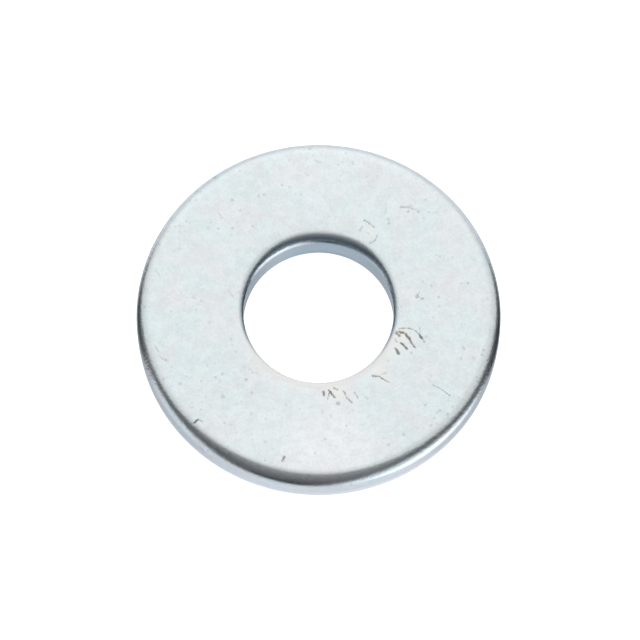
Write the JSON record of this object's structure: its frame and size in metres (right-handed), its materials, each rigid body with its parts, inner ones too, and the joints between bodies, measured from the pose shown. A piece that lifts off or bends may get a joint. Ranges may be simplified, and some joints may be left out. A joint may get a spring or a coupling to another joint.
{
  "type": "flat washer",
  "caption": "Plain flat washer in zinc plated steel, wide series, with one face rolled at its edges; spreads a bolt head's or nut's load.",
  "frame": {"origin": "centre of the bore, in the plane of the sheared face that the washer lies on", "axes": "+Z along the bore axis, from the sheared face to the rolled face"},
  "size_m": [0.0229, 0.0228, 0.0025],
  "materials": {
    "zinc_plated_steel": "barrel zinc plate with a clear passivate, satin on the faces and bright on the sheared walls"
  },
  "bodies": {
    "root": {"washer": "zinc_plated_steel"}
  },
  "joints": []
}
